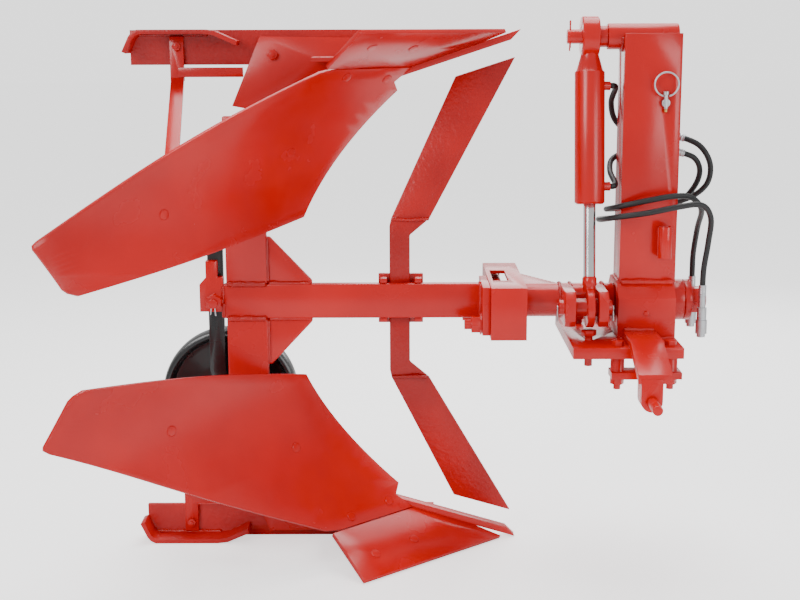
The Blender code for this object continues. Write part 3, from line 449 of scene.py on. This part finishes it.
def beadGrid(ends, width, seed):
    # a weld run: a tube whose radius swells once a ripple, tapers at both ends and wanders a little
    ends = [np.asarray(e, float) for e in ends]
    v = beadValues
    lengths = np.concatenate([[0], np.cumsum([np.linalg.norm(b - a) for a, b in zip(ends, ends[1:])])])
    total = lengths[-1]
    s = np.linspace(0, total, max(10, int(total / v["step"])))
    path = np.stack([np.interp(s, lengths, [e[k] for e in ends]) for k in range(3)], -1)
    rng = np.random.default_rng(seed)
    turns = max(4, int(total / v["wanderStep"]))
    wander = np.interp(s, np.linspace(0, total, turns), rng.uniform(-1, 1, turns))
    ripple = 1 + v["swell"] * np.abs(np.sin(np.pi * s / v["rippleLength"] + wander)) + v["wander"] * wander
    taper = np.clip(np.minimum(s, total - s) / (v["tipLength"] * width) + v["tipSize"], v["tipSize"], 1.0)
    path[:, 2] += v["lift"] * wander
    return tubeGrid(path, width * ripple * taper, v["sides"])


def roundedCopy(node, width=0.0016, segments=2, material=None, angle=38.0, smooth=40.0):
    # the CAD solid with its flat faces joined up again and its edges broken by a small round
    source = frame["nodes"][node]
    mesh = source.data.copy()
    work = bmesh.new()
    work.from_mesh(mesh)
    bmesh.ops.remove_doubles(work, verts=work.verts, dist=2e-5)
    bmesh.ops.dissolve_limit(work, angle_limit=math.radians(0.6), verts=work.verts, edges=work.edges)
    work.to_mesh(mesh)
    work.free()
    piece = bpy.data.objects.new(node + "_skin", mesh)
    bpy.context.scene.collection.objects.link(piece)
    bevel = piece.modifiers.new("brokenEdge", "BEVEL")
    bevel.width = width
    bevel.segments = segments
    bevel.limit_method = "ANGLE"
    bevel.angle_limit = math.radians(angle)
    bevel.harden_normals = False
    bpy.context.view_layer.update()
    graph = bpy.context.evaluated_depsgraph_get()
    finished = bpy.data.meshes.new_from_object(piece.evaluated_get(graph))
    piece.modifiers.clear()
    piece.data = finished
    slotName = next(s["material_slot"] for s in frame["record"]["subparts"] if s["node"] == node)
    finished.materials.clear()
    finished.materials.append(material or skins[slotName])
    finished.shade_smooth()
    finished.set_sharp_from_angle(angle=math.radians(smooth))
    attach(piece, source["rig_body"])
    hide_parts(node)
    return piece


# width of the round on each piece's edges
edgeWidths = {
    "beam": 0.0030, "mast": 0.0022, "bearing_block": 0.0030, "base_plate": 0.0016, "cross_tube": 0.0022,
    "beam_end_plate": 0.0014, "link_arm_left": 0.0030, "link_arm_right": 0.0030, "clamp_plate_front": 0.0013,
    "clamp_plate_rear": 0.0013, "valve_block": 0.0020, "coulter_clamp": 0.0014, "wheel_pivot_bracket": 0.0012,
    "crank_lug_rear": 0.0016, "crank_lug_front": 0.0016, "holder_tube": 0.0008, "mast_top_pipe": 0.0012,
    "castle_nut": 0.0008, "wheel_arm": 0.0016, "turnover_shaft": 0.0012, "top_link_pin": 0.0006,
    "link_pin_left": 0.0010, "link_pin_right": 0.0010, "cylinder_top_pin": 0.0010, "offset_screw": 0.0008}
for side in ("lower", "upper"):
    edgeWidths.update({"leg_" + side: 0.0026, "share_" + side: 0.0012, "frog_" + side: 0.0012,
                       "landside_" + side: 0.0022, "point_" + side: 0.0020, "stay_" + side: 0.0014,
                       "coulter_" + side: 0.0020, "mouldboard_" + side: 0.0012, "coupler_" + side: 0.0006})
roughNodes = ("coulter_lower", "coulter_upper", "landside_lower", "landside_upper")
smoothAngles = {"mouldboard": 50.0, "other": 38.0}
for node, width in edgeWidths.items():
    if node.startswith("coupler"):
        frame["nodes"][node].data.materials.clear()
        frame["nodes"][node].data.materials.append(zincSkin)
        continue
    roundedCopy(node, width, material=roughRed if node in roughNodes else None,
                smooth=smoothAngles["mouldboard" if node.startswith("mouldboard") else "other"])
for node in frame["nodes"].values():
    if not node.hide_render:
        slotName = next(s["material_slot"] for s in frame["record"]["subparts"] if s["node"] == node.name)
        node.data.materials.clear()
        node.data.materials.append(skins[slotName])
print("frame pieces ready")


cylinderValues = {"lean": math.atan2(0.095, 0.600), "pin": (0.425, 0.0, 0.600), "paintFrom": 0.533,
                  "barrelEdge": 0.0010, "rodEdge": 0.0008}


def makeCylinder():
    roundedCopy("cylinder_barrel", cylinderValues["barrelEdge"])
    rod = roundedCopy("cylinder_rod", cylinderValues["rodEdge"])
    # faces further down than the eye's neck are painted, those above it are the bright rod
    down = np.array([0.0, -math.sin(cylinderValues["lean"]), -math.cos(cylinderValues["lean"])])
    centres = np.array([face.center for face in rod.data.polygons])
    depth = (centres - at(*cylinderValues["pin"])) @ down
    rod.data.materials.clear()
    rod.data.materials.append(chromeSkin)
    rod.data.materials.append(redEnamel)
    rod.data.polygons.foreach_set("material_index", (depth > cylinderValues["paintFrom"]).astype(np.int32))


makeCylinder()


wheelValues = {"axle": (-0.408, 0.0, -0.240), "inner": 0.040, "width": 0.070, "radius": 0.162, "sides": 120}


def makeWheel():
    # a section carried round the axle, its tread rounded by the sine of an angle to the power 0.6
    w, r = wheelValues["width"] / 2, wheelValues["radius"]
    mid = wheelValues["inner"] + w
    rim = np.linspace(0, np.pi, 9)
    tread = np.stack([mid - (w - 0.006) * np.cos(rim), r - 0.010 + 0.010 * np.sin(rim) ** 0.6], -1)
    outer = [(mid - w, r - 0.014)] + tread.tolist() + [(mid + w, r - 0.014), (mid + w - 0.003, r - 0.019)]
    farSide = [(mid + 0.012, r - 0.026), (mid + 0.004, r - 0.040), (mid + 0.003, 0.094), (mid + 0.010, 0.086),
               (mid + 0.011, 0.062), (mid + 0.018, 0.052), (mid + 0.022, 0.040), (mid + w - 0.002, 0.035),
               (mid + w, 0.033), (mid + w, 0.0101), (mid - w, 0.0101), (mid - w, 0.033),
               (mid - w + 0.002, 0.035)]
    nearSide = [(mid - 0.012, 0.040), (mid - 0.004, 0.052), (mid - 0.001, 0.062), (mid - 0.002, 0.086),
                (mid - 0.009, 0.094), (mid - 0.010, 0.118), (mid - 0.015, 0.124), (mid - 0.016, r - 0.026),
                (mid - w + 0.004, r - 0.019)]
    points, faces = turnedGrid("Y", at(wheelValues["axle"][0], 0, wheelValues["axle"][2]),
                               outer + farSide + nearSide, wheelValues["sides"], close=True)
    wheel = addPiece("gauge_wheel_skin", points, faces, blackEnamel, "gauge_wheel", "black_paint", 40)
    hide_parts("gauge_wheel")


makeWheel()


def makeShortHoses():
    for name, route in shortRoutes.items():
        line = smoothLine(route, hoseValues["shortSteps"])
        points, faces = tubeGrid(line, hoseValues["radius"], hoseValues["shortSides"])
        mesh = bpy.data.meshes.new(name + "_skin")
        mesh.from_pydata(points.tolist(), [], faces)
        mesh.materials.append(hoseRubber)
        mesh.shade_smooth()
        piece = bpy.data.objects.new(name + "_skin", mesh)
        bpy.context.scene.collection.objects.link(piece)
        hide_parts(name)
        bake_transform(piece)


makeShortHoses()


weldValues = {"small": 0.0036, "medium": 0.0048, "large": 0.0062}
sideRuns = [
    ([(-0.402, -0.0125, 0.0405), (-0.310, -0.0125, 0.0405)], "large"),
    ([(-0.402, 0.0125, 0.0405), (-0.310, 0.0125, 0.0405)], "large"),
    ([(-0.306, -0.0068, 0.0415), (-0.208, -0.0068, 0.0415)], "medium"),
    ([(-0.3078, -0.0068, 0.045), (-0.3078, -0.0068, 0.146)], "medium"),
    ([(-0.3078, 0.0068, 0.045), (-0.3078, 0.0068, 0.146)], "medium"),
    ([(-0.022, 0.0128, 0.187), (0.022, 0.0128, 0.186), (0.066, 0.0128, 0.188)], "small"),
    ([(-0.612, 0.1185, 0.6070), (-0.446, 0.1185, 0.6070)], "medium"),
    ([(0.1845, -0.0115, 0.0385), (0.1845, 0.0115, 0.0385)], "medium"),
    ([(-0.4105, -0.0122, 0.004), (-0.4105, -0.0122, 0.038)], "small")]  # once below the beam and once above
endRuns = [
    ([(0.1845, -0.0125, -0.038), (0.1845, -0.0125, 0.038)], "medium"),
    ([(0.1845, 0.0125, -0.038), (0.1845, 0.0125, 0.038)], "medium")]
headRuns = [
    ([(0.499, -0.0560, 0.0505), (0.622, -0.0560, 0.0505)], "large"),
    ([(0.499, 0.0380, 0.0505), (0.622, 0.0380, 0.0505)], "large"),
    ([(0.4960, -0.052, 0.0505), (0.4960, 0.034, 0.0505)], "medium"),
    ([(0.494, -0.0860, -0.0740), (0.621, -0.0860, -0.0740)], "medium"),
    ([(0.494, 0.0860, -0.0740), (0.621, 0.0860, -0.0740)], "medium"),
    ([(0.5835, -0.0560, 0.110), (0.5835, -0.0560, 0.178)], "small"),
    ([(0.6085, -0.0560, 0.110), (0.6085, -0.0560, 0.178)], "medium"),
    ([(0.505, -0.0860, -0.0538), (0.574, -0.0860, -0.0538)], "medium"),
    ([(0.505, 0.0860, -0.0538), (0.574, 0.0860, -0.0538)], "medium")]
shaftRings = {"places": (0.3665, 0.3915, 0.4420, 0.4650), "radius": 0.0395, "points": 80}
pipeSaddles = {"places": (0.4960, 0.6240), "radius": 0.0300, "height": 0.600, "span": (1.02, 1.98),
               "points": 40}


def ringPath(axis, centre, radius, count):
    angle = np.linspace(0, 2 * np.pi, count)
    flat = np.stack([np.cos(angle), np.sin(angle), np.zeros(count)], -1) * radius
    return flat @ axisTurn(axis) + np.asarray(centre)


def weldRuns(runs, sign, seed):
    return [beadGrid([at(x, y, sign * z) for x, y, z in ends], weldValues[size], seed + k)
            for k, (ends, size) in enumerate(runs)]


def makeWelds():
    small = weldValues["small"]
    shapes = weldRuns(sideRuns, -1, 1) + weldRuns(sideRuns, 1, 1 + len(sideRuns)) + weldRuns(endRuns, 1, 40)
    for x in shaftRings["places"]:
        ring = ringPath("X", at(x, 0, 0), shaftRings["radius"], shaftRings["points"])
        shapes.append(beadGrid(ring, small, 50 + int(x * 1000)))
    addPiece("frame_welds", *joined(shapes), weldRed, "plough_frame", "red_paint", 60)
    shapes = weldRuns(headRuns, 1, 70)
    angle = np.linspace(np.pi * pipeSaddles["span"][0], np.pi * pipeSaddles["span"][1], pipeSaddles["points"])
    radius, height = pipeSaddles["radius"], pipeSaddles["height"]
    for x in pipeSaddles["places"]:
        saddle = [at(x, -radius * math.cos(a), height + radius * math.sin(a)) for a in angle]
        shapes.append(beadGrid(saddle, small, 90 + int(x * 100)))
    addPiece("headstock_welds", *joined(shapes), weldRed, "headstock", "red_paint", 60)


makeWelds()
print("welds ready")


def hitFace(node, x, z):
    # where a level line through the plough's side view first meets a piece, and which way the face looks there
    data = frame["nodes"][node].data
    tree = BVHTree.FromPolygons([v.co for v in data.vertices], [p.vertices for p in data.polygons])
    place, normal, _, _ = tree.ray_cast(Vector(at(x, -2.0, z)), Vector((0, 1, 0)))
    return np.array(place), np.array(normal)


# height of each ring of a countersunk head, and its radius as a share of the head's
flushValues = {"radius": 0.0115, "sides": 32, "rings": [
    (-0.0020, 1.12), (0.0007, 1.10), (0.0008, 1.02), (0.0001, 0.98), (0.0013, 0.90), (0.0017, 0.5),
    (0.0018, 0.05)]}


def flushBolt(place, normal):
    # countersunk bolt head: rings round the face's own direction, a shallow crown in a painted-over groove
    z = normal / np.linalg.norm(normal)
    x = np.cross(z, [0.0, 0.0, 1.0])
    x /= np.linalg.norm(x)
    y = np.cross(z, x)
    rings = [(h, flushValues["radius"] * share) for h, share in flushValues["rings"]]
    angle = np.linspace(0, 2 * np.pi, flushValues["sides"], endpoint=False)
    spokes = np.cos(angle)[:, None] * x + np.sin(angle)[:, None] * y
    points = np.vstack([r * spokes + z * h for h, r in rings])
    return points + place, gridFaces(len(rings), flushValues["sides"])


# places along the plough and away from the beam
boardSpots = {"mouldboard": [(-0.497, 0.236), (-0.246, 0.345), (-0.030, 0.505), (-0.118, 0.512)],
              "share": [(0.030, 0.575), (-0.060, 0.578)]}


def makeBoardBolts():
    shapes = []
    for side, sign in (("lower", -1), ("upper", 1)):
        for node, places in boardSpots.items():
            for x, depth in places:
                place, normal = hitFace(f"{node}_{side}", x, sign * depth)
                shapes.append(flushBolt(place, normal))
    addPiece("board_bolts", *joined(shapes), redEnamel, "plough_frame", "red_paint", 30)


# place, the way it faces, width across flats, height, and the stud's radius and height where one stands out
sideBolts = [
    ((-0.519, 0.1097, 0.580), (0, -1, 0), 0.019, 0.008, 0.005, 0.004),
    ((-0.519, 0.132, 0.580), (0, 1, 0), 0.019, 0.007),
    ((-0.296, 0.1077, 0.560), (0, -1, 0), 0.022, 0.010, 0.006, 0.005),
    ((-0.296, 0.132, 0.560), (0, 1, 0), 0.020, 0.004),
    ((-0.060, 0.1077, 0.588), (0, -1, 0), 0.022, 0.010, 0.006, 0.005),
    ((-0.060, 0.132, 0.588), (0, 1, 0), 0.020, 0.004),
    ((-0.040, 0.0371, 0.030), (0, 1, 0), 0.018, 0.009, 0.0055, 0.008),
    ((0.040, 0.0371, 0.030), (0, 1, 0), 0.018, 0.009, 0.0055, 0.008)]
endBolts = [((0.1845, y, -0.047), (-1, 0, 0), 0.042, 0.004) for y in (-0.050, 0.050)]
headBolts = [((x, y, -0.0745), (0, 0, 1), 0.024, 0.012) for y in (-0.155, 0.155) for x in (0.482, 0.600)]
headBolts.append(((0.555, -0.085, -0.016), (0, -1, 0), 0.010, 0.006))
studValues = {"chamferFrom": 0.9, "tip": 0.8, "sides": 20}


def nutOn(place, direction, acrossFlats, height, studRadius=None, studHeight=0.0):
    shapes = [hexGrid(direction, place, acrossFlats, height)]
    if studRadius:
        z = np.array(direction, float)
        reach = (0.0, height + studHeight * studValues["chamferFrom"], height + studHeight)
        path = np.array([np.asarray(place) + z * h for h in reach])
        radii = np.array([studRadius, studRadius, studRadius * studValues["tip"]])
        shapes.append(tubeGrid(path, radii, studValues["sides"]))
    return joined(shapes)


def nutsFrom(bolts, sign=1):
    return [nutOn(at(x, y, sign * z), *sizes) for (x, y, z), *sizes in bolts]


def makeFrameBolts():
    shapes = nutsFrom(sideBolts, -1) + nutsFrom(sideBolts) + nutsFrom(endBolts)
    addPiece("frame_bolts", *joined(shapes), redEnamel, "plough_frame", "red_paint", 30)


def makeHeadBolts():
    addPiece("headstock_bolts", *joined(nutsFrom(headBolts)), redEnamel, "headstock", "red_paint", 30)


# place, the way its legs point, the way its eye is wide, and the legs' length
framePins = [((-0.431, -0.0405, -0.010), (0, 0, -1), (1, 0, 0), 0.018),
             ((0.3530, -0.095, -0.014), (0, 0, -1), (0, 1, 0), 0.018),
             ((0.4785, -0.095, -0.014), (0, 0, -1), (0, 1, 0), 0.018)]
headPins = [((0.3810, 0.0, 0.618), (0, 0, -1), (0, 1, 0), 0.050)]
pinValues = {"wire": 0.0016, "eyeRadius": 0.0052, "eyeBack": 0.012, "open": (0.15, 1.7), "spread": 0.006,
             "shortLeg": 0.86, "eyePoints": 60, "legPoints": 16, "sides": 8}


def splitPin(place, direction, across, legs):
    # bent wire: an open circle for the eye, and from its ends two straight legs, spread apart past the hole
    place, z, x = np.asarray(place), np.array(direction, float), np.array(across, float)
    t = np.linspace(0, 1, pinValues["eyePoints"])
    turn = np.pi * (pinValues["open"][0] + pinValues["open"][1] * t)[:, None]
    eye = place - z * pinValues["eyeBack"] + pinValues["eyeRadius"] * (np.sin(turn) * x - np.cos(turn) * z)
    down = np.linspace(0, 1, pinValues["legPoints"])[:, None]
    spread = x * pinValues["spread"]
    right = eye[0] + (place + z * legs - eye[0] + spread) * down
    left = eye[-1] + (place + z * legs * pinValues["shortLeg"] - eye[-1] - spread) * down
    return tubeGrid(np.vstack([right[::-1], eye[1:-1], left]), pinValues["wire"], pinValues["sides"])


def makeSplitPins():
    frameShapes = [splitPin(at(*place), *rest) for place, *rest in framePins]
    headShapes = [splitPin(at(*place), *rest) for place, *rest in headPins]
    addPiece("frame_split_pins", *joined(frameShapes), zincSkin, "plough_frame", "zinc_steel", 60)
    addPiece("cylinder_pin_split_pin", *joined(headShapes), redEnamel, "headstock", "red_paint", 60)


linchValues = {
    "x": 0.589, "y": -0.0600, "ringFront": 0.005, "ringHeight": 0.496, "ringRadius": 0.0265, "ringLean": 0.0015,
    "ringSpan": (-0.42, 1.42), "ringPoints": 90, "wire": 0.0021, "wireSides": 12, "shankSides": 24,
    "tipSides": 20,
    "shank": [(0.4410, 0.0030), (0.4425, 0.0048), (0.4720, 0.0048), (0.4730, 0.0066), (0.4800, 0.0066),
              (0.4810, 0.0050)],
    "tip": [(0.4340, 0.0020), (0.4350, 0.0036), (0.4408, 0.0040)]}  # heights above the beam, and radii


def makeLinchPin():
    # the shank drops through the top link pin's end, and its spring ring lies up against the mast
    v = linchValues
    shank = turnedGrid("Z", at(v["x"], v["y"], 0.0), v["shank"], v["shankSides"])
    addPiece("linch_pin", *shank, zincSkin, "headstock", "zinc_steel", 35)
    angle = np.linspace(v["ringSpan"][0] * np.pi, v["ringSpan"][1] * np.pi, v["ringPoints"])
    across, up = v["ringRadius"] * np.cos(angle), v["ringRadius"] * np.sin(angle)
    ring = np.stack([across, -v["ringLean"] * np.sin(angle), up], -1)
    ring = ring + at(v["x"], v["y"] - v["ringFront"], v["ringHeight"])
    addPiece("linch_ring", *tubeGrid(ring, v["wire"], v["wireSides"]), zincSkin, "headstock", "zinc_steel", 60)
    tip = turnedGrid("Z", at(v["x"], v["y"], 0.0), v["tip"], v["tipSides"])
    addPiece("linch_tip", *tip, brassSkin, "headstock", "zinc_steel", 35)


ferruleValues = {"hoseSteps": 12, "startGap": 0.0004, "startLength": 0.030, "startRadius": 0.0092,
                 "endFrom": 0.026, "endLength": 0.0255, "endRadius": 0.0088, "points": 40, "sides": 24,
                 "waves": 10, "depth": 0.08, "plainEnds": 0.15}


def ferruleOn(line, start, length, radius, name):
    # crimped sleeve on a hose: its radius drops by half waves of a sine between two plain collars
    v = ferruleValues
    along = np.concatenate([[0], np.cumsum(np.linalg.norm(np.diff(line, axis=0), axis=1))])
    s = np.linspace(start, start + length, v["points"])
    path = np.stack([np.interp(s, along, line[:, k]) for k in range(3)], -1)
    u = np.linspace(0, 1, v["points"])
    waves = np.clip(np.sin(u * np.pi * v["waves"]), 0, 1) * (u > v["plainEnds"]) * (u < 1 - v["plainEnds"])
    sleeve = tubeGrid(path, radius * (1 - v["depth"] * waves), v["sides"])
    return addPiece(name, *sleeve, zincSkin, "headstock", "zinc_steel", 40)


def makeFerrules():
    v = ferruleValues
    for name, route in supplyRoutes.items():
        line = smoothLine(route, v["hoseSteps"])
        tail = name.split("_")[-1]
        ferruleOn(line, v["startGap"], v["startLength"], v["startRadius"], "ferrule_start_" + tail)
        ferruleOn(line, lengthOf(line) - v["endFrom"], v["endLength"], v["endRadius"], "ferrule_end_" + tail)


makeBoardBolts()
makeFrameBolts()
makeHeadBolts()
makeSplitPins()
makeLinchPin()
makeFerrules()
print("bolts and pins ready")


studioValues = {"floorSize": 30.0, "floorDrop": 0.0005, "floorColour": (0.90, 0.90, 0.90, 1),
                "floorRoughness": 0.9, "floorGlow": 1.2, "white": (1.0, 1.0, 1.0, 1), "worldLight": 0.70,
                "worldSeen": 1.86, "aim": (0, 0, 0.6)}
# place, size and power of each lamp
lamps = {"key": ((-2.4, -2.8, 2.6), 1.6, 70.0), "fill": ((2.8, -2.6, 1.4), 1.6, 34.0),
         "top": ((0.2, 0.9, 3.6), 2.4, 110.0), "back": ((0.8, 3.0, 2.0), 2.2, 40.0)}


def makeStudio():
    # the floor and the world glow for the camera alone, so that they read white and still light little
    floorMaterial = bpy.data.materials.new("studio_floor")
    floorMaterial.use_nodes = True
    shader = floorMaterial.node_tree.nodes["Principled BSDF"]
    shader.inputs["Base Color"].default_value = studioValues["floorColour"]
    shader.inputs["Roughness"].default_value = studioValues["floorRoughness"]
    shader.inputs["Emission Color"].default_value = studioValues["white"]
    seen = floorMaterial.node_tree.nodes.new("ShaderNodeLightPath")
    glow = addMath(floorMaterial.node_tree, "MULTIPLY", seen.outputs["Is Camera Ray"],
                   studioValues["floorGlow"])
    floorMaterial.node_tree.links.new(glow, shader.inputs["Emission Strength"])
    mesh = bpy.data.meshes.new("studio_floor")
    size = studioValues["floorSize"]
    corners = [(-size, -size, 0), (size, -size, 0), (size, size, 0), (-size, size, 0)]
    mesh.from_pydata(corners, [], [(0, 1, 2, 3)])
    mesh.materials.append(floorMaterial)
    floor = bpy.data.objects.new("studio_floor", mesh)
    floor.location.z = -studioValues["floorDrop"]
    bpy.context.scene.collection.objects.link(floor)
    world = bpy.data.worlds.new("studio")
    world.use_nodes = True
    background = world.node_tree.nodes["Background"]
    background.inputs["Color"].default_value = studioValues["white"]
    paths = world.node_tree.nodes.new("ShaderNodeLightPath")
    strength = world.node_tree.nodes.new("ShaderNodeMapRange")
    strength.inputs["To Min"].default_value = studioValues["worldLight"]
    strength.inputs["To Max"].default_value = studioValues["worldSeen"]
    world.node_tree.links.new(paths.outputs["Is Camera Ray"], strength.inputs["Value"])
    world.node_tree.links.new(strength.outputs["Result"], background.inputs["Strength"])
    bpy.context.scene.world = world
    for name, (place, size, power) in lamps.items():
        data = bpy.data.lights.new(name, "AREA")
        data.size = size
        data.energy = power
        light = bpy.data.objects.new(name, data)
        light.location = place
        light.rotation_euler = (Vector(studioValues["aim"]) - Vector(place)).to_track_quat("-Z", "Y").to_euler()
        bpy.context.scene.collection.objects.link(light)


makeStudio()
print("studio ready")
